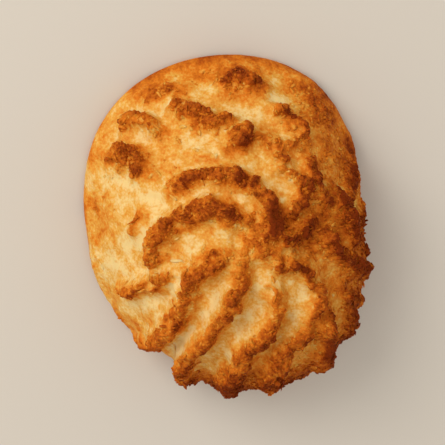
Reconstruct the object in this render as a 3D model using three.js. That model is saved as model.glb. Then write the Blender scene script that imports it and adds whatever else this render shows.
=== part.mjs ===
// A coconut cookie: a piped macaroon, baked until the ridges left by the star nozzle are brown.
//
// It is one solid, lying on its flat underside. The batter has spread into a smooth, slightly oval foot, and
// the piped crown sits off its middle, so one side is steep and the other slopes. Ridges curl over the crown
// and hang down the steep side. Their crests are craggy with grated coconut, and the hollows are smooth.
//
// Millimetres, +Z up. The origin is under the middle of the bounding box, on the flat underside.
import * as THREE from "three";
import { ImprovedNoise } from "three/addons/math/ImprovedNoise.js";

const { clamp, degToRad, lerp, seededRandom, smoothstep } = THREE.MathUtils;

// ---- Driving sizes ----
const FOOT_RADIUS = 30.5; // mean radius of the foot, where it is widest
const FOOT_DRIFT = { size: 0.95, angle: -18 }; // it reaches this much further towards this side, less opposite
const FOOT_OVAL = { size: 3, angle: 102 }; // this much further towards the angle and opposite it
const FOOT_CORNERS = { size: 0.7, angle: 57 }; // this much further towards three sides
const FOOT_SQUARENESS = 0.6; // and towards four
const FOOT_HOLLOW = { size: 1.8, angle: 238, reach: 30 }; // it falls short here, under the ends of two ridges
const FOOT_EDGE = 5; // height at which the smooth edge of the foot ends
const CROWN_HEIGHT = 28.5; // of the plain crown, before its ridges
const CROWN_SHIFT = new THREE.Vector2(2.2, -6); // the crown's middle, seen from the middle of the foot
const RIDGE_HEIGHT = 2.9;
const RIDGE_STEEP_SIDE = 2.6; // from a ridge's crest to its foot, on the left of its path
const RIDGE_GENTLE_SIDE = 3.7; // and on the right
const RIDGE_UNEVENNESS = 0.4; // share by which a ridge rises and falls along its path
const RIDGE_UNEVEN_SIZE = 5;
const RIDGE_END = 0.16; // share of its length over which a ridge rises at either end
const RAGGED_SIZE = 5; // how far apart the bulges in a ridge's edges are
const RAGGED_REACH = 1.1;
const CRAG_SIZE = 2.5; // across one crag
const CRAG_HEIGHT = 1.1;
const LUMP_SIZE = 9; // the gentle unevenness of the whole surface
const LUMP_HEIGHT = 0.8;
const GRAIN_HEIGHT = 0.25;
const CELL = 1.08; // length of a triangle's side
const CRUST_COLOUR = 0xd9964a;

// The plain side, from the top of the crown to the edge of the underside: share of the radius, share of the
// height. The edge of the foot is rounded.
const PROFILE = [
  [0, 1],
  [0.22, 0.985],
  [0.44, 0.91],
  [0.62, 0.78],
  [0.77, 0.6],
  [0.88, 0.41],
  [0.96, 0.225],
  [1, 0.09],
  [0.985, 0.025],
  [0.945, 0],
];

// The ridges seen from above: points that the crest passes, measured from the middle of the foot, and its
// width and height as shares of the usual ones. These lie on the crown, from its back edge to its front.
const CROWN_RIDGES = [
  { path: [[-1.7, 26.5], [1.6, 27.9], [5.9, 26.9]], width: 0.95, height: 0.7 },
  { path: [[-16.6, 24.4], [-8.6, 26.6]], width: 1, height: 0.3 },
  { path: [[-10, 23.4], [-5.4, 22], [-0.6, 21.2], [2, 19.6], [-2.4, 18]], width: 1, height: 0.95 },
  { path: [[7.6, 23.5], [10.8, 21.5], [12.8, 17.8]], width: 0.85, height: 0.8 },
  { path: [[3.2, 19.1], [7.2, 18.4], [11.4, 17.5]], width: 0.7, height: 0.55 },
  { path: [[-19.8, 17.7], [-19, 19.8], [-16.3, 20.7], [-13.9, 19.6]], width: 0.85, height: 0.7 },
  { path: [[-21.8, 12.9], [-18.9, 14.7], [-16, 12.6]], width: 1.15, height: 0.9 },
  { path: [[-7.5, 16.3], [-2.3, 17]], width: 0.6, height: 0.3 },
  { path: [[-12.1, 11.1], [-7.6, 12.8], [-1.8, 13.5], [3.2, 11], [6, 5.2]], width: 1, height: 1.05 },
  { path: [[7.1, 15.7], [11, 12.7], [11.8, 8.8], [8.8, 7.5]], width: 0.75, height: 0.75 },
  { path: [[13.1, 16.1], [14.1, 11.5], [16.3, 6.6]], width: 0.75, height: 0.7 },
  { path: [[17.9, 10.3], [20.4, 3.6], [22.4, -3.4]], width: 0.8, height: 0.75 },
  { path: [[-15.5, -3.4], [-14.2, 3.4], [-10.2, 7], [-4, 8.4], [0.4, 6]], width: 1, height: 1.05 },
  { path: [[-19.6, 0.8], [-18, 5], [-15.9, 6.5]], width: 0.7, height: 0.4 },
  { path: [[2, 3.6], [6.4, 4.6], [10, 3.2], [13.4, 4.8]], width: 0.75, height: 0.8 },
  { path: [[15.4, 2.6], [18.6, -1.6], [22.8, -6.4], [26.4, -9.6]], width: 0.8, height: 0.75 },
  { path: [[0, 0.6], [4.6, 1.4], [9.2, 0.2]], width: 0.65, height: 0.55 },
  { path: [[-20, -11.6], [-16.2, -7.1], [-11.9, -3.3]], width: 0.95, height: 0.8 },
  { path: [[3.6, 0.2], [8.6, -2], [13.4, -5.4], [14.4, -10], [12.7, -14.6]], width: 0.9, height: 0.85 },
];
// These hang over the crown's front edge, and run on down the side.
const HANGING_RIDGES = [
  { path: [[-3.4, 0], [-8.2, -3.8], [-9.6, -8.4], [-11.6, -14.8], [-14.4, -23.2]], width: 1, height: 1 },
  { path: [[0, -2.4], [-1.9, -9], [-4.8, -14.6], [-8, -22.4], [-6.9, -31]], width: 1, height: 1.1 },
  { path: [[5.4, -6.4], [6.5, -10.8], [5.2, -14.8], [0.4, -21.6], [0.8, -30.8]], width: 1, height: 0.9 },
  { path: [[13.8, -15], [10.6, -17.6], [8, -20.6], [7.6, -25], [8.2, -29]], width: 0.95, height: 0.85 },
  { path: [[16.4, -13.4], [16.6, -19], [17.6, -26.4]], width: 0.9, height: 0.95 },
  { path: [[20.6, -9.6], [21.8, -15], [22.4, -21]], width: 0.8, height: 0.7 },
];

// The lower end of a hanging ridge: how far down the side it comes, and its size as shares of the ridge's.
const TAIL = { bottom: 0.84, width: 0.85, height: 0.4 };

// Short ribs low on the side, one after another between two directions, in degrees. They run from one share
// of the way down the side to another, and stray by some degrees.
const SIDE_RIBS = { from: -28, to: 28, step: 11, stray: 5, top: 0.52, bottom: 0.86 };
const SIDE_RIB_SIZE = { width: 0.8, height: 0.42 }; // as shares of the usual ones
const SIDE_RIB_VARIETY = 0.06; // share of the side by which their ends differ

const noise = new ImprovedNoise();
const noiseAt = (p, size, seed) => noise.noise(p.x / size + seed, p.y / size - seed, p.z / size + 2 * seed);
// A draw between -1 and 1, the same in every run.
const draw = () => 2 * seededRandom() - 1;

// ---- The plain form ----
const sideProfile = new THREE.SplineCurve(
  PROFILE.map(([radius, height]) => new THREE.Vector2(radius * FOOT_RADIUS, height * CROWN_HEIGHT)),
);

// How far the outline reaches in a direction, against a circle.
function outlineShare(angle) {
  const drift = FOOT_DRIFT.size * Math.cos(angle - degToRad(FOOT_DRIFT.angle));
  const oval = FOOT_OVAL.size * Math.cos(2 * (angle - degToRad(FOOT_OVAL.angle)));
  const corners = FOOT_CORNERS.size * Math.cos(3 * (angle - degToRad(FOOT_CORNERS.angle)));
  const square = -FOOT_SQUARENESS * Math.cos(4 * angle);
  const offHollow = Math.abs(angle - degToRad(FOOT_HOLLOW.angle)) / degToRad(FOOT_HOLLOW.reach);
  const hollow = FOOT_HOLLOW.size * smoothstep(1 - offHollow, 0, 1);
  return 1 + (drift + oval + corners + square - hollow) / FOOT_RADIUS;
}

// How much of the crown's shift there is at a height: most of it comes low down.
function leanShare(height) {
  return 1 - (1 - height / CROWN_HEIGHT) ** 2;
}

// A section through the plain form: how large it is, how high it lies and where its middle is. along runs
// from 0 at the top to 1 at the edge of the underside.
function section(along) {
  const side = sideProfile.getPointAt(clamp(along, 0, 1));
  const height = Math.max(side.y, 0);
  return { radius: side.x, height, middle: CROWN_SHIFT.clone().multiplyScalar(leanShare(height)) };
}

function plainPoint(along, angle) {
  const { radius, height, middle } = section(along);
  const reach = radius * outlineShare(angle);
  return new THREE.Vector3(middle.x + reach * Math.cos(angle), middle.y + reach * Math.sin(angle), height);
}

// The direction that the plain form faces at a point.
function plainNormal(along, angle) {
  const step = 0.004;
  const down = plainPoint(along + step, angle).sub(plainPoint(along - step, angle));
  const round = plainPoint(along, angle + step).sub(plainPoint(along, angle - step));
  const facing = down.cross(round);
  return facing.lengthSq() > 0 ? facing.normalize() : new THREE.Vector3(0, 0, 1);
}

// Where on the plain form a place in plan lies, found by halving between the top and the foot.
function placeOnForm(x, y) {
  let low = 0;
  let high = 1;
  let angle = 0;
  for (let i = 0; i < 20; i++) {
    const along = (low + high) / 2;
    const { radius, middle } = section(along);
    const outwards = new THREE.Vector2(x, y).sub(middle);
    angle = outwards.angle();
    if (radius * outlineShare(angle) < outwards.length()) low = along;
    else high = along;
  }
  return { along: low, angle };
}

// Points down the side, from one place to another.
function downSide(from, to) {
  return Array.from({ length: 10 }, (_, i) =>
    plainPoint(lerp(from.along, to.along, i / 9), lerp(from.angle, to.angle, i / 9)),
  );
}

// ---- The ridges ----
// A ridge along a crest, with its width and height as shares of the usual ones.
function ridge(crest, width, height) {
  return {
    crest,
    steep: width * RIDGE_STEEP_SIDE,
    gentle: width * RIDGE_GENTLE_SIDE,
    height: height * RIDGE_HEIGHT,
  };
}

// A ridge of the tables above, with its crest laid on the plain form.
function laidRidge({ path, width, height }) {
  const curve = new THREE.CatmullRomCurve3(path.map(([x, y]) => new THREE.Vector3(x, y, 0)));
  const crest = curve.getSpacedPoints(Math.ceil(curve.getLength())).map((p) => {
    const { along, angle } = placeOnForm(p.x, p.y);
    return plainPoint(along, angle);
  });
  return ridge(crest, width, height);
}

function tail({ path, width, height }) {
  const start = placeOnForm(...path.at(-1));
  const end = { along: TAIL.bottom, angle: start.angle };
  return ridge(downSide(start, end), width * TAIL.width, height * TAIL.height);
}

function sideRibs() {
  const { from, to, step, stray, top, bottom } = SIDE_RIBS;
  const { width, height } = SIDE_RIB_SIZE;
  const ribs = [];
  for (let degrees = from; degrees <= to; degrees += step) {
    const [start, end] = [top, bottom].map((along) => ({
      along: along + SIDE_RIB_VARIETY * draw(),
      angle: degToRad(degrees + stray * draw()),
    }));
    ribs.push(ridge(downSide(start, end), width, height * (1 + 0.3 * draw())));
  }
  return ribs;
}

seededRandom(7);
const ridges = [
  ...CROWN_RIDGES.map(laidRidge),
  ...HANGING_RIDGES.flatMap((hanging) => [laidRidge(hanging), tail(hanging)]),
  ...sideRibs(),
];

// How high one ridge stands at a point: steep near the crest, hollow at the foot, rounded off at its ends.
function ridgeHeight({ crest, steep, gentle, height }, point) {
  const stretch = new THREE.Line3();
  const nearest = new THREE.Vector3();
  let best = Infinity;
  let share = 0;
  let side = 0;
  for (let i = 1; i < crest.length; i++) {
    stretch.set(crest[i - 1], crest[i]);
    const along = stretch.closestPointToPointParameter(point, true);
    const distance = stretch.at(along, nearest).distanceTo(point);
    if (distance >= best) continue;
    best = distance;
    share = (i - 1 + along) / (crest.length - 1);
    const run = stretch.end.clone().sub(stretch.start);
    side = (run.x * (point.y - nearest.y) - run.y * (point.x - nearest.x)) / (run.length() * distance + 1e-9);
  }
  const width = lerp(gentle, steep, smoothstep(side, -0.6, 0.6));
  const across = clamp(1 - best / width, 0, 1);
  const ends = smoothstep(share, -RIDGE_END, RIDGE_END) * smoothstep(1 - share, -RIDGE_END, RIDGE_END);
  const uneven = 1 + RIDGE_UNEVENNESS * noiseAt(point, RIDGE_UNEVEN_SIZE, 3);
  return height * ends * uneven * across ** 1.4 * (3 - 2 * across);
}

// ---- The surface ----
// A point nudged aside, so that what is measured from it gets uneven edges.
function ragged(point) {
  const nudge = [6, 7, 8].map(
    (seed) => noiseAt(point, RAGGED_SIZE, seed) + 0.5 * noiseAt(point, RAGGED_SIZE / 2, seed),
  );
  return new THREE.Vector3(...nudge).multiplyScalar(RAGGED_REACH).add(point);
}

// Crags are sharp where the noise changes sign, with finer ones on them.
function cragHeight(point) {
  const sharp = 0.6 - 2.4 * Math.abs(noiseAt(point, CRAG_SIZE, 1));
  return CRAG_HEIGHT * (sharp + 0.5 * noiseAt(point, CRAG_SIZE / 2, 5));
}

function surfacePoint(along, angle) {
  const point = plainPoint(along, angle);
  const measured = ragged(point);
  // Ridges that meet run into each other.
  const raised = ridges.reduce((sum, ridge) => sum + ridgeHeight(ridge, measured) ** 4, 0) ** 0.25;
  const crusty = smoothstep(raised, 0.1 * RIDGE_HEIGHT, 0.7 * RIDGE_HEIGHT);
  const smooth = LUMP_HEIGHT * noiseAt(point, LUMP_SIZE, 2) + GRAIN_HEIGHT * noiseAt(point, CRAG_SIZE, 4);
  const offFoot = smoothstep(point.z, FOOT_EDGE / 5, FOOT_EDGE);
  const height = offFoot * (raised + smooth + crusty * cragHeight(point));
  return point.addScaledVector(plainNormal(along, angle), height);
}

// One ring of the surface, with as many points as its length asks for.
function surfaceRing(along) {
  const count = Math.round((2 * Math.PI * section(along).radius) / CELL);
  return Array.from({ length: count }, (_, i) => surfacePoint(along, (i / count) * 2 * Math.PI));
}

// The flat underside, as ever smaller and coarser rings inside its edge.
function undersideRings(edge) {
  return [[0.85, 2], [0.6, 4], [0.3, 12]].map(([share, every]) =>
    edge.filter((_, i) => i % every === 0).map((point) => point.clone().multiplyScalar(share)),
  );
}

// Joins two rings of any two sizes, always stepping on along the one whose next point comes first. A ring of
// one point has nothing to step along.
function joinRings(first, second, triangles) {
  let i = first.count > 1 ? 0 : 1;
  let j = second.count > 1 ? 0 : 1;
  while (i < first.count || j < second.count) {
    const a = first.start + (i % first.count);
    const b = second.start + (j % second.count);
    if (j === second.count || (i < first.count && (i + 1) * second.count <= (j + 1) * first.count)) {
      i += 1;
      triangles.push(a, b, first.start + (i % first.count));
    } else {
      j += 1;
      triangles.push(a, b, second.start + (j % second.count));
    }
  }
}

function cookieGeometry() {
  const steps = Math.round(sideProfile.getLength() / CELL);
  const rings = [[surfacePoint(0, 0)]];
  for (let i = 1; i <= steps; i++) rings.push(surfaceRing(i / steps));
  rings.push(...undersideRings(rings[steps]), [new THREE.Vector3()]);

  const triangles = [];
  let first = { start: 0, count: 1 };
  for (const ring of rings.slice(1)) {
    const second = { start: first.start + first.count, count: ring.length };
    joinRings(first, second, triangles);
    first = second;
  }
  const geometry = new THREE.BufferGeometry().setFromPoints(rings.flat());
  geometry.setIndex(triangles);
  geometry.computeBoundingBox();
  const middle = geometry.boundingBox.getCenter(new THREE.Vector3());
  geometry.translate(-middle.x, -middle.y, 0);
  geometry.computeVertexNormals();
  return geometry;
}

const crust = new THREE.MeshStandardMaterial({ color: CRUST_COLOUR, roughness: 0.75, metalness: 0 });
const cookie = new THREE.Mesh(cookieGeometry(), crust);
cookie.name = "cookie";

const part = new THREE.Group();
part.add(cookie);
export default part;
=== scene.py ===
import math

import bpy
import numpy as np
from bpy.props import FloatProperty, FloatVectorProperty, IntProperty, PointerProperty
from mathutils import Matrix, Vector


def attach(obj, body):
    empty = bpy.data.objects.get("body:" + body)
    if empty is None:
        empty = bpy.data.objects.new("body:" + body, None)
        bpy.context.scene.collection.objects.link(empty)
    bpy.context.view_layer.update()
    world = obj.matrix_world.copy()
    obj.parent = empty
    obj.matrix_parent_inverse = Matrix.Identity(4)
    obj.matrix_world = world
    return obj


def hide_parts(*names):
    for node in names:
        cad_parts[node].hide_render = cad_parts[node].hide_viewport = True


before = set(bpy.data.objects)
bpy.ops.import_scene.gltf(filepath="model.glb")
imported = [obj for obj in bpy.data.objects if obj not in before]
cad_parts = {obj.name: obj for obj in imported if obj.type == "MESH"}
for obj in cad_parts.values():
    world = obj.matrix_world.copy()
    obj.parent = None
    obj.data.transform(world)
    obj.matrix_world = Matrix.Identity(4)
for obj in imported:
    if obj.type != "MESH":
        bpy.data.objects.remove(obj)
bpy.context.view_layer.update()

bl_info = {
    "name": "Coconut Cookie",
    "version": (1, 0, 0),
    "blender": (4, 5, 0),
    "location": "3D View > Sidebar > Cookie",
    "description": "The baked crust of a piped coconut cookie, with its crumbs and shreds of coconut",
    "category": "Add Mesh",
}

MM = 0.001
TOAST = "toast"  # the attribute that says how brown a place is, from 0, pale, to 1, burnt; it also carries painted shade and painted light

# Places that are browner or paler than their relief alone says, from real browning and from painted shade
# and painted light:
# middle in plan and reach in millimetres, and how much browner.
ZONES = (
    # Browned knobs, ridges and patches; on the right side and at the lower front some of the browning is
    # painted shade.
    ((-0.5, 28.0), 3.5, 0.12),  # knob at the back
    ((-2.0, 33.5), 6.0, 0.16),  # edge behind it
    ((-17.0, 29.0), 6.0, 0.18),  # patch beside it
    ((-17.5, 25.3), 2.5, 0.12),
    ((18.5, 25.0), 6.0, 0.14),  # edge on the right, at the back
    ((11.0, 23.0), 3.5, 0.14),  # knobs on the right, at the back
    ((5.5, 20.5), 4.0, 0.14),
    ((-8.0, 22.5), 2.5, 0.14),  # hook
    ((-12.8, 19.7), 3.5, 0.16),  # streaks between the hook and the arch
    ((-8.8, 17.0), 3.0, 0.14),
    ((-18.5, 19.0), 3.0, 0.10),  # knobs on the left
    ((-21.5, 13.8), 2.8, 0.14),
    ((-12.4, 14.0), 3.0, 0.16),  # left end of the arch
    ((-12.0, 10.8), 3.0, 0.12),
    ((2.0, 8.5), 3.0, 0.14),  # right end of the arch
    ((6.0, 8.0), 4.0, 0.20),
    ((1.5, 4.5), 4.5, 0.24),
    ((-1.3, 3.6), 2.5, 0.12),  # right end of the crescent
    ((-11.6, 0.2), 2.4, 0.20),  # its lower side
    ((10.0, 6.0), 4.5, 0.20),  # crags beside the arch
    ((9.5, 12.0), 3.0, 0.08),
    ((11.5, 0.5), 3.0, 0.12),
    ((14.5, 3.0), 4.0, 0.12),
    ((16.5, 5.0), 10.0, 0.18),  # middle of the right side, darkened partly as painted shade
    ((17.2, 16.0), 3.5, 0.16),
    ((23.0, 13.0), 6.0, 0.24),
    ((27.0, 0.0), 7.0, 0.30),
    ((24.0, -10.0), 9.0, 0.18),  # its lower part
    ((22.0, -22.0), 6.0, 0.34),
    ((15.2, -18.8), 5.0, 0.26),
    ((-26.8, 15.0), 4.0, 0.16),  # left edge
    ((-27.3, 3.5), 3.5, 0.22),
    ((-20.3, -9.6), 3.0, 0.14),  # tip of the pointed ridge
    ((-17.0, -17.0), 3.0, 0.16),
    ((1.5, -29.0), 8.0, 0.34),  # lower ends of the front ridges, darkened partly as painted shade
    ((-4.0, -24.0), 4.0, 0.18),
    ((-4.7, -19.2), 2.5, 0.14),
    ((4.7, -21.0), 3.0, 0.14),
    ((-5.5, -29.5), 5.0, 0.24),
    ((11.8, -26.5), 6.0, 0.32),
    # Pale hollows, and ridges that stayed light; some of them are painted light, laid where the ridges'
    # shade falls.
    ((8.0, 27.8), 4.0, -0.20),
    ((3.2, 23.5), 3.0, -0.16),
    ((-3.5, 24.0), 3.0, -0.12),
    ((-4.9, 20.6), 2.5, -0.12),
    ((-12.6, 25.5), 3.0, -0.16),
    ((-18.0, 22.8), 5.0, -0.18),
    ((-24.5, 17.0), 2.5, -0.12),
    ((-25.0, 11.0), 4.0, -0.16),
    ((6.5, 15.0), 4.0, -0.16),
    ((-18.5, 11.0), 6.5, -0.06),
    ((-7.7, 12.4), 2.3, -0.14),
    ((-9.5, 7.3), 3.0, -0.06),
    ((-18.5, 2.0), 4.5, -0.16),
    ((-23.0, -4.0), 6.0, -0.12),
    ((-12.5, -5.2), 3.0, -0.16),
    ((-8.5, -1.8), 3.0, -0.18),
    ((-4.6, -7.6), 3.0, -0.14),
    ((2.5, -8.5), 6.0, -0.10),
    ((8.5, -6.5), 5.0, -0.16),
    ((-13.0, -17.2), 4.5, -0.18),
)
DEEP_CRAGS = (10.5, 5.0)  # middle of the most rugged place, in plan
SHADED_SIDE = Vector((0.93, -0.35, 0.1))  # painted shade: slopes that face this way, away from the lamp, are made browner
# How far a place stands out from its surroundings and how far it is moved outwards, in millimetres: the
# flanks of the ridges are drawn in, so that their crests are sharper.
CREST_PROFILE = (
    (-0.8, -0.25), (-0.2, -0.2), (0.3, -0.22), (0.8, -0.22), (1.3, 0.0), (1.8, 0.22), (2.6, 0.35)
)


# ---- Settings ----
class CrustSettings(bpy.types.PropertyGroup):
    """Sizes of the relief on the skin of the cookie."""

    facet_rounds: IntProperty(
        name="Facet rounding", description="Smoothing rounds that take the facets off", default=7, min=0
    )
    plain_rounds: IntProperty(
        name="Plain rounds", description="Smoothing rounds after which no ridge is left",
        default=60, min=1,
    )
    sharpening: FloatProperty(
        name="Sharpening", description="How much of the crest profile is put on the ridges", default=1.0
    )
    lump_size: FloatProperty(
        name="Lump size", description="Across the soft lumps of the dough", default=0.0045, unit="LENGTH"
    )
    lump_height: FloatProperty(
        name="Lump height", description="Height of the soft lumps", default=0.0008, unit="LENGTH"
    )
    crag_size: FloatProperty(
        name="Crag size", description="Across a crag of the rough crust", default=0.0028, unit="LENGTH"
    )
    crag_height: FloatProperty(
        name="Crag height", description="Height of the crags", default=0.0004, unit="LENGTH"
    )
    strand_size: FloatProperty(
        name="Strand size", description="Between the strands of coconut baked into the crust",
        default=0.0013, unit="LENGTH",
    )
    strand_height: FloatProperty(
        name="Strand height", description="Height of the strands", default=0.0003, unit="LENGTH"
    )
    grain_size: FloatProperty(
        name="Grain size", description="Across a grain in the crust", default=0.0006, unit="LENGTH"
    )
    grain_height: FloatProperty(
        name="Grain height", description="Height of the grain", default=0.0005, unit="LENGTH"
    )


class ColourSettings(bpy.types.PropertyGroup):
    """Colours of the crust, from the palest hollow to a burnt tip."""

    cream: FloatVectorProperty(
        name="Cream", description="Dough in the hollows", subtype="COLOR", default=(0.77, 0.56, 0.235)
    )
    gold: FloatVectorProperty(
        name="Gold", description="Lightly baked dough", subtype="COLOR", default=(0.71, 0.352, 0.056)
    )
    amber: FloatVectorProperty(
        name="Amber", description="Sides of the ridges", subtype="COLOR", default=(0.64, 0.185, 0.011)
    )
    brown: FloatVectorProperty(
        name="Brown", description="Crests of the ridges", subtype="COLOR", default=(0.42, 0.085, 0.004)
    )
    burnt: FloatVectorProperty(
        name="Burnt", description="Tips and specks", subtype="COLOR", default=(0.18, 0.024, 0.001)
    )


class BrowningSettings(bpy.types.PropertyGroup):
    """How brown the plain dough is, from 0, pale, to 1, burnt, and what is added to that."""

    dough: FloatProperty(name="Dough", description="Toast of the plain dough", default=0.355)
    front_ridges: FloatProperty(
        name="Front ridges", description="Added on the crests of the front ridges", default=0.32
    )
    crown_ridges: FloatProperty(
        name="Crown ridges", description="Added on the crests of the crown's ridges", default=0.43
    )
    hollows: FloatProperty(name="Hollows", description="Taken off in the hollows", default=0.06)
    rim: FloatProperty(name="Rim", description="Added at the edge of the foot", default=0.22)
    low: FloatProperty(name="Low", description="Added low on the sides", default=0.06)
    back: FloatProperty(name="Back", description="Added at the back", default=0.08)
    # Painted shade: this much is added where a slope faces away from the lamp.
    shaded_side: FloatProperty(
        name="Shaded side", description="Added where a slope faces away from the lamp", default=0.17
    )
    tips: FloatProperty(name="Tips", description="Added on the tips of the crags", default=0.11)


class ScatterSettings(bpy.types.PropertyGroup):
    """Numbers and sizes of what sticks out of the crust."""

    crumb_count: IntProperty(name="Crumbs", description="Number of crumbs", default=9000, min=0)
    crumb_length: FloatProperty(
        name="Crumb length", description="Usual length of a crumb", default=0.0007, unit="LENGTH"
    )
    shred_count: IntProperty(name="Shreds", description="Number of coconut shreds", default=1500, min=0)
    shred_length: FloatProperty(
        name="Shred length", description="Usual length of a shred", default=0.0014, unit="LENGTH"
    )
    seed: IntProperty(name="Seed", description="Start of the random draws", default=4, min=0)


class StageSettings(bpy.types.PropertyGroup):
    """The view and the light."""

    view_tip: FloatProperty(
        name="View tip", description="How far the view is tipped from straight above",
        default=math.radians(-20), subtype="ANGLE",
    )
    view_axis: FloatProperty(
        name="View axis", description="Direction in plan of the axis it is tipped about",
        default=math.radians(28), subtype="ANGLE",
    )
    distance: FloatProperty(
        name="Distance", description="From the camera to the cookie", default=0.6, unit="LENGTH"
    )
    lens: FloatProperty(name="Lens", description="Focal length in millimetres", default=248.0)
    key_power: FloatProperty(
        name="Key light", description="Power of the main light", default=4.4, unit="POWER"
    )
    key_colour: FloatVectorProperty(
        name="Key colour", description="Colour of the main light", subtype="COLOR", default=(1, 0.96, 0.9)
    )
    sky_strength: FloatProperty(
        name="Sky", description="Strength of the light from all round", default=0.74
    )
    sky_colour: FloatVectorProperty(
        name="Sky colour", description="Colour of the light from all round", subtype="COLOR",
        default=(1, 0.95, 0.88),
    )
    floor_colour: FloatVectorProperty(
        name="Floor", description="Colour of the floor", subtype="COLOR", default=(0.62, 0.575, 0.51)
    )


# ---- Helpers ----
def fade(value, low, high):
    """0 below low, 1 above high and a smooth change between."""
    share = np.clip((value - low) / (high - low), 0, 1)
    return share * share * (3 - 2 * share)


def unit(vectors):
    return vectors / np.maximum(np.linalg.norm(vectors, axis=-1, keepdims=True), 1e-12)


def select_only(piece):
    bpy.ops.object.select_all(action="DESELECT")
    piece.select_set(True)
    bpy.context.view_layer.objects.active = piece


def apply_modifier(piece, kind, **settings):
    """Adds a modifier with these settings and applies it."""
    select_only(piece)
    modifier = piece.modifiers.new(kind.lower(), kind)
    for name, value in settings.items():
        setattr(modifier, name, value)
    bpy.ops.object.modifier_apply(modifier=modifier.name)


def points_of(piece):
    points = np.empty(len(piece.data.vertices) * 3)
    piece.data.vertices.foreach_get("co", points)
    return points.reshape(-1, 3)


def move_points(piece, points):
    piece.data.vertices.foreach_set("co", points.ravel())
    piece.data.update()


def directions_of(piece):
    directions = np.empty(len(piece.data.vertices) * 3)
    piece.data.vertex_normals.foreach_get("vector", directions)
    return directions.reshape(-1, 3)


def attribute_of(piece, name):
    values = np.empty(len(piece.data.vertices))
    piece.data.attributes[name].data.foreach_get("value", values)
    return values


def store_attribute(piece, name, values):
    attribute = piece.data.attributes.get(name) or piece.data.attributes.new(name, "FLOAT", "POINT")
    attribute.data.foreach_set("value", values)


def store_group(piece, name, weights):
    """A vertex group with a weight for each point, in twenty steps."""
    group = piece.vertex_groups.new(name=name)
    steps = np.round(np.clip(weights, 0, 1) * 20).astype(int)
    for step in range(1, 21):
        group.add(np.flatnonzero(steps == step).tolist(), step / 20, "REPLACE")


def relief(piece, kind, size, height, group, middle=0.5, **settings):
    """Raises and lowers a piece's skin by a solid texture with features of this size."""
    texture = bpy.data.textures.new(f"{group} {kind.lower()}", kind)
    texture.noise_scale = size
    for name, value in settings.items():
        setattr(texture, name, value)
    apply_modifier(
        piece, "DISPLACE", texture=texture, strength=height, mid_level=middle, vertex_group=group,
        texture_coords="LOCAL",
    )


# ---- The material ----
def crust_material():
    """Baked coconut dough. Its colour follows the toast attribute, uneven at three sizes."""
    name = "baked coconut crust"
    if name in bpy.data.materials:
        return bpy.data.materials[name]
    colours = bpy.context.scene.cookie_colours
    material = bpy.data.materials.new(name)
    material.use_nodes = True
    nodes, links = material.node_tree.nodes, material.node_tree.links
    shader = nodes["Principled BSDF"]
    shader.inputs["Subsurface Weight"].default_value = 0.3
    shader.inputs["Subsurface Radius"].default_value = (1.0, 0.6, 0.3)
    shader.inputs["Subsurface Scale"].default_value = 0.8 * MM
    shader.inputs["Specular IOR Level"].default_value = 0.08

    place = nodes.new("ShaderNodeTexCoord").outputs["Object"]
    toast = nodes.new("ShaderNodeAttribute")
    toast.attribute_name = TOAST
    level = toast.outputs["Fac"]
    # Patches, mottling and specks: size, how much each changes the toast, and how fine its detail is.
    for size, strength, detail in ((4.5 * MM, 0.40, 2), (1.7 * MM, 0.30, 3), (0.5 * MM, 0.26, 2)):
        noise = nodes.new("ShaderNodeTexNoise")
        noise.inputs["Scale"].default_value = 1 / size
        noise.inputs["Detail"].default_value = detail
        links.new(place, noise.inputs["Vector"])
        centred = nodes.new("ShaderNodeMath")
        centred.operation = "MULTIPLY_ADD"
        centred.inputs[1].default_value = 2 * strength
        centred.inputs[2].default_value = -strength
        links.new(noise.outputs["Fac"], centred.inputs[0])
        total = nodes.new("ShaderNodeMath")
        total.operation = "ADD"
        links.new(level, total.inputs[0])
        links.new(centred.outputs[0], total.inputs[1])
        level = total.outputs[0]
    ramp = nodes.new("ShaderNodeValToRGB")
    stops = ((0.08, colours.cream), (0.3, colours.gold), (0.52, colours.amber), (0.76, colours.brown),
             (1.0, colours.burnt))
    while len(ramp.color_ramp.elements) < len(stops):
        ramp.color_ramp.elements.new(0.5)
    for element, (position, colour) in zip(ramp.color_ramp.elements, stops):
        element.position = position
        element.color = (*colour, 1)
    links.new(level, ramp.inputs["Fac"])
    links.new(ramp.outputs["Color"], shader.inputs["Base Color"])

    shine = nodes.new("ShaderNodeMapRange")
    shine.inputs["To Min"].default_value = 0.5
    shine.inputs["To Max"].default_value = 0.8
    links.new(level, shine.inputs["Value"])
    links.new(shine.outputs["Result"], shader.inputs["Roughness"])

    grain = nodes.new("ShaderNodeTexNoise")
    grain.inputs["Scale"].default_value = 1 / (0.35 * MM)
    grain.inputs["Detail"].default_value = 3
    links.new(place, grain.inputs["Vector"])
    bump = nodes.new("ShaderNodeBump")
    bump.inputs["Strength"].default_value = 0.7
    bump.inputs["Distance"].default_value = 0.15 * MM
    links.new(grain.outputs["Fac"], bump.inputs["Height"])
    links.new(bump.outputs["Normal"], shader.inputs["Normal"])
    return material


def finish_piece(piece):
    """Material, place in the frame and shading of a finished piece."""
    piece.data.materials.clear()
    piece.data.materials.append(crust_material())
    select_only(piece)
    bpy.ops.object.shade_smooth()
    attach(piece, "root")


# ---- The crust ----
def copy_of_cookie(name):
    """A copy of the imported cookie, with its loose triangles merged."""
    piece = bpy.data.objects.new(name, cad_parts["cookie"].data.copy())
    bpy.context.collection.objects.link(piece)
    select_only(piece)
    bpy.ops.object.mode_set(mode="EDIT")
    bpy.ops.mesh.select_all(action="SELECT")
    bpy.ops.mesh.remove_doubles(threshold=1e-6)
    bpy.ops.object.mode_set(mode="OBJECT")
    return piece


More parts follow.
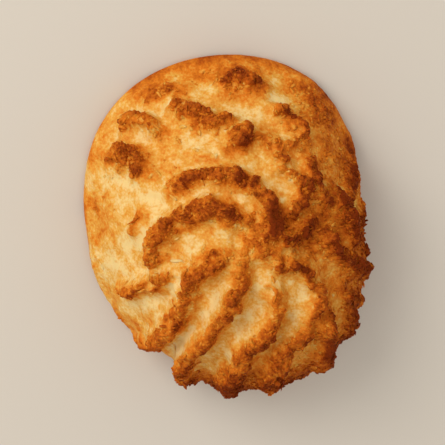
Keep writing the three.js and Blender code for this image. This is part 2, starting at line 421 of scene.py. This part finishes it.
def crest_heights(piece, rounds):
    """How far each point stands out from the same skin smoothed until no ridge is left."""
    plain = piece.copy()
    plain.data = piece.data.copy()
    bpy.context.collection.objects.link(plain)
    apply_modifier(plain, "SMOOTH", factor=0.9, iterations=rounds)
    heights = ((points_of(piece) - points_of(plain)) * directions_of(piece)).sum(axis=1)
    bpy.data.objects.remove(plain)
    return heights


def subdivide_twice(piece):
    select_only(piece)
    bpy.ops.object.mode_set(mode="EDIT")
    bpy.ops.mesh.select_all(action="SELECT")
    bpy.ops.mesh.subdivide(number_cuts=1)
    bpy.ops.mesh.subdivide(number_cuts=1)
    bpy.ops.object.mode_set(mode="OBJECT")


class COOKIE_OT_crust(bpy.types.Operator):
    """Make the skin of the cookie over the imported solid: smooth dough, and craggy crests on its ridges"""

    bl_idname = "cookie.crust"
    bl_label = "Bake the crust"

    def execute(self, context):
        sizes = context.scene.cookie_crust
        crust = copy_of_cookie("crust")
        store_attribute(crust, "crest", crest_heights(crust, sizes.plain_rounds))
        subdivide_twice(crust)
        apply_modifier(crust, "SMOOTH", factor=0.5, iterations=sizes.facet_rounds)
        crest = attribute_of(crust, "crest")
        points = points_of(crust)
        # The flat underside is left alone, and the edge of the foot nearly so.
        off_floor = fade(points[:, 2], 0.2 * MM, 3 * MM)
        on_side = fade(points[:, 2], 2 * MM, 7 * MM)
        outwards = np.interp(crest / MM, *zip(*CREST_PROFILE)) * MM * sizes.sharpening * on_side
        move_points(crust, points + directions_of(crust) * outwards[:, None])
        # Crests and darker patches, browned or painted shade, are rough, and the dough between them is
        # smooth.
        rough = fade(crest, 0.2 * MM, 1.5 * MM) + 3 * np.maximum(zones_at(points), 0)
        rough = np.clip(rough, 0, 1) * on_side
        # Painted shade: how far each slope faces away from the lamp.
        towards_shade = directions_of(crust) @ np.array(SHADED_SIDE)
        from_crags = np.linalg.norm(points[:, :2] - np.array(DEEP_CRAGS) * MM, axis=1)
        store_group(crust, "all over", off_floor)
        store_group(crust, "rough", rough)
        store_group(crust, "smooth", off_floor * (1 - rough))
        store_group(crust, "deep", fade(-from_crags, -9 * MM, -3 * MM))
        relief(crust, "CLOUDS", sizes.lump_size, sizes.lump_height, "all over")
        # In the most rugged place there are larger crags under the others.
        relief(
            crust, "DISTORTED_NOISE", 1.4 * sizes.crag_size, 2 * sizes.crag_height, "deep", middle=0.25
        )
        relief(crust, "DISTORTED_NOISE", sizes.crag_size, sizes.crag_height, "rough", middle=0)
        relief(
            crust, "MUSGRAVE", sizes.strand_size, sizes.strand_height, "rough", middle=0.69,
            musgrave_type="RIDGED_MULTIFRACTAL", octaves=2,
        )
        relief(crust, "CLOUDS", sizes.grain_size, sizes.grain_height, "rough", noise_depth=1)
        relief(crust, "CLOUDS", sizes.grain_size, sizes.grain_height / 5, "smooth", noise_depth=1)
        points = points_of(crust)
        points[:, 2] = np.maximum(points[:, 2], 0)
        move_points(crust, points)
        store_attribute(crust, TOAST, toast_of(crust, crest, rough, towards_shade))
        # What only helped to shape it is taken off.
        crust.vertex_groups.clear()
        crust.data.attributes.remove(crust.data.attributes["crest"])
        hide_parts("cookie")
        finish_piece(crust)
        return {"FINISHED"}


def zones_at(points):
    """How much browner, or paler where the amount is negative, these points are for lying in the zones:
    real browning, painted shade and painted light.
    """
    browner = np.zeros(len(points))
    for middle, reach, amount in ZONES:
        distance = np.linalg.norm(points[:, :2] - np.array(middle) * MM, axis=1)
        browner += amount * fade(-distance, -reach * MM, -0.3 * reach * MM)
    return browner


def toast_of(crust, crest, rough, towards_shade):
    """How brown each place of the crust is: most on the crests, with painted shade made browner on slopes
    that face away from the lamp.
    """
    browning = bpy.context.scene.cookie_browning
    points = points_of(crust)
    height = points[:, 2]
    on_side = fade(height, 3 * MM, 8 * MM)
    ridge = np.clip((crest + 0.1 * MM) / (1.8 * MM), 0, 1) ** 1.2 * on_side
    hollow = fade(-crest, -0.3 * MM, 0.5 * MM) * on_side
    rim = fade(-height, -4.5 * MM, -0.5 * MM)
    low = fade(-height, -10 * MM, -3 * MM)
    back = fade(points[:, 1], 24 * MM, 33 * MM)
    crown = fade(points[:, 1], -10 * MM, 0)
    tips = np.clip(crest_heights(crust, 12) / (0.22 * MM), -1, 1) * (0.3 + 0.7 * rough)
    crests = browning.front_ridges + (browning.crown_ridges - browning.front_ridges) * crown
    # The zones bring painted shade and painted light along with real browning.
    added_toast = crests * ridge - browning.hollows * hollow + zones_at(points)
    # About half of it is spread out, so that the brown runs on past the edges of the ridges.
    added_toast = 0.5 * added_toast + 0.55 * spread(crust, added_toast, 30)
    return (
        browning.dough + added_toast + browning.rim * rim + browning.low * low + browning.back * back
        # painted shade on the slopes that face away from the lamp
        + browning.shaded_side * towards_shade + browning.tips * tips
    )


def spread(piece, values, rounds):
    """These values of a piece's points, evened out between neighbours this many times."""
    ends = np.empty(len(piece.data.edges) * 2, dtype=np.int32)
    piece.data.edges.foreach_get("vertices", ends)
    starts, ends = ends[::2], ends[1::2]
    count = len(values)
    neighbours = np.bincount(starts, minlength=count) + np.bincount(ends, minlength=count)
    for _ in range(rounds):
        total = np.bincount(starts, values[ends], count) + np.bincount(ends, values[starts], count)
        values = (values + total / neighbours) / 2
    return values


# ---- What sticks out of the crust ----
def places_on_crust(weights, count, draws):
    """Random places on the crust, most where the weights are high: centre, direction out and toast."""
    crust = bpy.data.objects["crust"]
    mesh = crust.data
    mesh.calc_loop_triangles()
    corners = np.empty(len(mesh.loop_triangles) * 3, dtype=np.int32)
    mesh.loop_triangles.foreach_get("vertices", corners)
    corners = corners.reshape(-1, 3)
    points, directions, toast = points_of(crust), directions_of(crust), attribute_of(crust, TOAST)
    a, b, c = (points[corners[:, i]] for i in range(3))
    areas = np.linalg.norm(np.cross(b - a, c - a), axis=1)
    chances = areas * weights[corners].mean(axis=1)
    picked = corners[draws.choice(len(corners), count, p=chances / chances.sum())]
    shares = draws.dirichlet((1, 1, 1), count)
    centre = (points[picked] * shares[..., None]).sum(axis=1)
    outwards = unit((directions[picked] * shares[..., None]).sum(axis=1))
    return centre, outwards, (toast[picked] * shares).sum(axis=1)


def model_of(add_primitive):
    """The points and triangles of one small thing, a metre across, modelled and taken away again."""
    bpy.ops.object.select_all(action="DESELECT")
    add_primitive()
    sample = bpy.context.object
    bpy.ops.object.mode_set(mode="EDIT")
    bpy.ops.mesh.select_all(action="SELECT")
    bpy.ops.mesh.quads_convert_to_tris()
    bpy.ops.object.mode_set(mode="OBJECT")
    points = points_of(sample)
    faces = np.array([face.vertices[:] for face in sample.data.polygons])
    bpy.data.meshes.remove(sample.data)
    return points, faces


def join_copies(name, model, centres, axes, sizes, unevenness, bend, draws):
    """One mesh of many copies of a small thing, each bent and dented in its own way."""
    points, faces = model
    count = len(centres)
    dents = 1 + unevenness * draws.uniform(-1, 1, (count, len(points), 3))
    copies = points * sizes[:, None] * dents
    # The ends stay where they are, and the middle of the length rises or sinks.
    copies[..., 2] += bend[:, None] * (points[:, 0] ** 2 - 0.25) * sizes[:, None, 0]
    copies = centres[:, None] + copies @ axes
    copies[..., 2] = np.maximum(copies[..., 2], 0)
    triangles = faces + len(points) * np.arange(count)[:, None, None]
    mesh = bpy.data.meshes.new(name)
    mesh.from_pydata(copies.reshape(-1, 3).tolist(), [], triangles.reshape(-1, 3).tolist())
    piece = bpy.data.objects.new(name, mesh)
    bpy.context.collection.objects.link(piece)
    return piece


def lying_axes(outwards, tip, draws):
    """The three axes of a thing that lies on each place, turned any way and tipped up a little."""
    count = len(outwards)
    up = unit(outwards + tip * draws.normal(size=(count, 3)))
    along = unit(np.cross(up, draws.normal(size=(count, 3))))
    return np.stack((along, np.cross(up, along), up), axis=1)


class COOKIE_OT_crumbs(bpy.types.Operator):
    """Scatter crumbs over the crests, half sunk in the crust"""

    bl_idname = "cookie.crumbs"
    bl_label = "Scatter crumbs"

    def execute(self, context):
        settings = context.scene.cookie_scatter
        draws = np.random.default_rng(settings.seed)
        count = settings.crumb_count
        crust = bpy.data.objects["crust"]
        toast = attribute_of(crust, TOAST)
        height = points_of(crust)[:, 2]
        # Most of them lie where it is brown, and none low on the foot.
        weights = (0.01 + fade(toast, 0.38, 0.7)) * fade(height, 3 * MM, 8 * MM)
        centre, outwards, toast = places_on_crust(weights, count, draws)
        # A crumb is a little narrower than it is long, and about half as thick.
        length = settings.crumb_length * draws.lognormal(0, 0.3, count)
        sizes = length[:, None] * np.stack(
            (np.ones(count), draws.uniform(0.6, 0.95, count), draws.uniform(0.35, 0.55, count)), axis=1
        )
        centre += outwards * (sizes[:, 2] * draws.uniform(-0.45, 0.1, count))[:, None]
        model = model_of(lambda: bpy.ops.mesh.primitive_ico_sphere_add(subdivisions=1, radius=0.5))
        axes = lying_axes(outwards, 0.35, draws)
        crumbs = join_copies("crumbs", model, centre, axes, sizes, 0.25, np.zeros(count), draws)
        shades = toast + 0.07 * draws.normal(size=count)
        store_attribute(crumbs, TOAST, np.repeat(shades, len(model[0])))
        finish_piece(crumbs)
        return {"FINISHED"}


class COOKIE_OT_shreds(bpy.types.Operator):
    """Scatter bent shreds of coconut over the crust, lying nearly flat"""

    bl_idname = "cookie.shreds"
    bl_label = "Scatter shreds"

    def execute(self, context):
        settings = context.scene.cookie_scatter
        draws = np.random.default_rng(settings.seed + 1)
        count = settings.shred_count
        crust = bpy.data.objects["crust"]
        toast = attribute_of(crust, TOAST)
        height = points_of(crust)[:, 2]
        weights = (0.02 + fade(toast, 0.3, 0.6)) * fade(height, 3 * MM, 8 * MM)
        centre, outwards, toast = places_on_crust(weights, count, draws)
        # Shreds differ in length more than in width and thickness.
        length = settings.shred_length * draws.lognormal(0, 0.3, count)
        sizes = np.stack(
            (length, draws.uniform(0.45, 0.75, count) * MM, draws.uniform(0.25, 0.45, count) * MM), axis=1
        )
        centre += outwards * (sizes[:, 2] * draws.uniform(-0.4, 0.2, count))[:, None]

        def long_bead():
            bpy.ops.mesh.primitive_uv_sphere_add(
                segments=5, ring_count=5, radius=0.5, rotation=(0, math.radians(90), 0)
            )
            bpy.ops.object.transform_apply(location=True, rotation=True, scale=True)

        model = model_of(long_bead)
        axes = lying_axes(outwards, 0.2, draws)
        bend = draws.uniform(-0.35, 0.05, count)
        shreds = join_copies("shreds", model, centre, axes, sizes, 0.12, bend, draws)
        shades = toast + 0.07 * draws.normal(size=count)
        store_attribute(shreds, TOAST, np.repeat(shades, len(model[0])))
        finish_piece(shreds)
        return {"FINISHED"}


# ---- The stage ----
def add_lamp(name, place, target, size, power, colour):
    """A square lamp that faces the target."""
    lamp = bpy.data.lights.new(name, "AREA")
    lamp.energy = power
    lamp.size = size
    lamp.color = colour
    holder = bpy.data.objects.new(name, lamp)
    bpy.context.collection.objects.link(holder)
    holder.location = place
    holder.rotation_euler = (target - place).to_track_quat("-Z", "Y").to_euler()


class COOKIE_OT_stage(bpy.types.Operator):
    """Set the floor, the lights and the camera"""

    bl_idname = "cookie.stage"
    bl_label = "Set the stage"

    def execute(self, context):
        stage = context.scene.cookie_stage
        bpy.ops.object.select_all(action="DESELECT")
        bpy.ops.mesh.primitive_plane_add(size=6)
        floor = context.object
        floor.name = "floor"
        material = bpy.data.materials.new("pale glazed floor")
        material.use_nodes = True
        shader = material.node_tree.nodes["Principled BSDF"]
        shader.inputs["Base Color"].default_value = (*stage.floor_colour, 1)
        shader.inputs["Roughness"].default_value = 0.45
        floor.data.materials.append(material)

        # The main light comes from the left, the back and above.
        target = Vector((0, 0, 0.012))
        place = target + Vector((-0.5, 0.42, 0.55))
        add_lamp("window", place, target, 0.5, stage.key_power, stage.key_colour)
        world = bpy.data.worlds.new("room")
        world.use_nodes = True
        sky = world.node_tree.nodes["Background"]
        sky.inputs["Color"].default_value = (*stage.sky_colour, 1)
        sky.inputs["Strength"].default_value = stage.sky_strength
        context.scene.world = world
        context.scene.view_settings.view_transform = "Standard"

        # The camera aims near the middle of the foot, and a little below it in the picture.
        axis = Vector((math.cos(stage.view_axis), math.sin(stage.view_axis), 0))
        turn = Matrix.Rotation(stage.view_tip, 4, axis)
        foot_middle = Vector((-0.0009, 0.0016, 0))
        aim = foot_middle + turn.to_3x3() @ Vector((0.0007, -0.0026, 0))
        camera = bpy.data.cameras.new("camera")
        camera.lens = stage.lens
        camera.sensor_width = 36
        holder = bpy.data.objects.new("camera", camera)
        context.collection.objects.link(holder)
        place = aim + turn.to_3x3() @ Vector((0, 0, stage.distance))
        holder.matrix_world = Matrix.Translation(place) @ turn
        context.scene.camera = holder
        return {"FINISHED"}


class COOKIE_PT_panel(bpy.types.Panel):
    """The cookie's settings and its operators"""

    bl_idname = "COOKIE_PT_panel"
    bl_label = "Coconut Cookie"
    bl_space_type = "VIEW_3D"
    bl_region_type = "UI"
    bl_category = "Cookie"

    def draw(self, context):
        scene = context.scene
        for settings, operators in (
            (scene.cookie_crust, ("cookie.crust",)),
            (scene.cookie_browning, ()),
            (scene.cookie_colours, ()),
            (scene.cookie_scatter, ("cookie.crumbs", "cookie.shreds")),
            (scene.cookie_stage, ("cookie.stage",)),
        ):
            box = self.layout.box()
            for name in settings.__annotations__:
                box.prop(settings, name)
            for operator in operators:
                box.operator(operator)


CLASSES = (
    CrustSettings, BrowningSettings, ColourSettings, ScatterSettings, StageSettings, COOKIE_OT_crust,
    COOKIE_OT_crumbs, COOKIE_OT_shreds, COOKIE_OT_stage, COOKIE_PT_panel,
)
SETTINGS = {
    "cookie_crust": CrustSettings,
    "cookie_browning": BrowningSettings,
    "cookie_colours": ColourSettings,
    "cookie_scatter": ScatterSettings,
    "cookie_stage": StageSettings,
}


def register():
    for cls in CLASSES:
        bpy.utils.register_class(cls)
    for name, group in SETTINGS.items():
        setattr(bpy.types.Scene, name, PointerProperty(type=group))


def unregister():
    for name in SETTINGS:
        delattr(bpy.types.Scene, name)
    for cls in reversed(CLASSES):
        bpy.utils.unregister_class(cls)


def main():
    register()
    bpy.ops.cookie.crust()
    bpy.ops.cookie.crumbs()
    bpy.ops.cookie.shreds()
    bpy.ops.cookie.stage()


if __name__ == "__main__":
    main()
